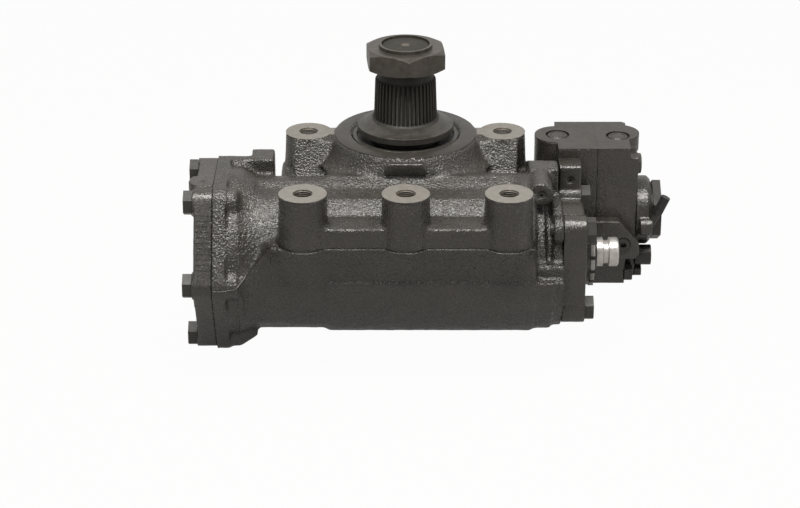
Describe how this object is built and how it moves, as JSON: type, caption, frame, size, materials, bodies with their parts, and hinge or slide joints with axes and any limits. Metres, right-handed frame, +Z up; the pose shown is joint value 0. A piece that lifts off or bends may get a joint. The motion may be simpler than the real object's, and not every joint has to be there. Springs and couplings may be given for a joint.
{
  "type": "steering gear",
  "caption": "Hydraulic steering gear: cast barrel with a rack piston, a toothed output shaft with its nut between drilled mounting bosses, and a rotary valve with a splined input shaft.",
  "frame": {"origin": "where the output shaft's axis crosses the plane of the five mounting boss faces", "axes": "+X along the piston towards the input shaft, +Y away from the piston to the back, +Z up along the output shaft"},
  "size_m": [0.4178, 0.2225, 0.2526],
  "materials": {
    "cast_body": "satin paint on a rough casting",
    "bolts": "satin paint",
    "nut_steel": "dull phosphated steel",
    "dark_steel": "oiled steel",
    "bright_steel": "bright machined steel",
    "rubber": "dull",
    "plug": "dull"
  },
  "bodies": {
    "housing": {"main_housing": "cast_body", "end_cover": "cast_body", "end_cover_bolts": "bolts", "end_cover_seal": "rubber", "stop_screw": "bolts", "valve_housing": "cast_body", "valve_housing_bolts": "bolts", "input_bearing": "bright_steel", "input_shaft_seal": "rubber", "input_shaft_wiper": "rubber", "test_plugs": "bolts", "output_shaft_seal": "rubber", "upper_needle_bearing": "bright_steel", "side_cover": "cast_body", "side_cover_bolts": "bolts", "lower_needle_bearing": "bright_steel", "adjusting_screw": "bolts", "adjuster_lock_nut": "bolts", "aux_valve_inner_body": "cast_body", "aux_valve_outer_body": "cast_body", "aux_port_plugs": "bolts", "relief_valve_cover": "cast_body", "relief_plug": "bolts", "spool_cap": "cast_body", "spool_plug": "bolts", "bleed_nipple": "bolts", "bleed_dust_cap": "rubber", "suction_plug": "plug", "valve_foot_bolt": "bolts", "drain_screw": "bolts"},
    "worm": {"worm_and_sleeve": "bright_steel", "torsion_bar": "bright_steel"},
    "input": {"input_shaft": "bright_steel"},
    "piston": {"rack_piston": "bright_steel", "piston_ring": "plug", "recirculating_balls": "bright_steel"},
    "output": {"sector_shaft": "dark_steel", "pitman_nut": "nut_steel", "dust_disc": "dark_steel"}
  },
  "joints": [
    {"name": "piston_slide", "type": "slide", "parent": "housing", "child": "piston", "axis": [1, 0, 0], "range_m": [-0.0293, 0.0293]},
    {"name": "output_swing", "type": "hinge", "parent": "housing", "child": "output", "pos_m": [0, 0, 0], "axis": [0, 0, 1], "range_deg": [-42, 42]},
    {"name": "worm_turn", "type": "hinge", "parent": "housing", "child": "worm", "pos_m": [0, -0.07, -0.0815], "axis": [1, 0, 0], "range_deg": [-754, 754]},
    {"name": "valve_twist", "type": "hinge", "parent": "worm", "child": "input", "pos_m": [0, -0.07, -0.0815], "axis": [1, 0, 0], "range_deg": [-4, 4], "stiffness_Nm_per_rad": 2}
  ],
  "couplings": [
    {"joint": "output_swing", "follows": "piston_slide", "rad_per_m": 25},
    {"joint": "worm_turn", "follows": "piston_slide", "rad_per_m": -448.8}
  ]
}
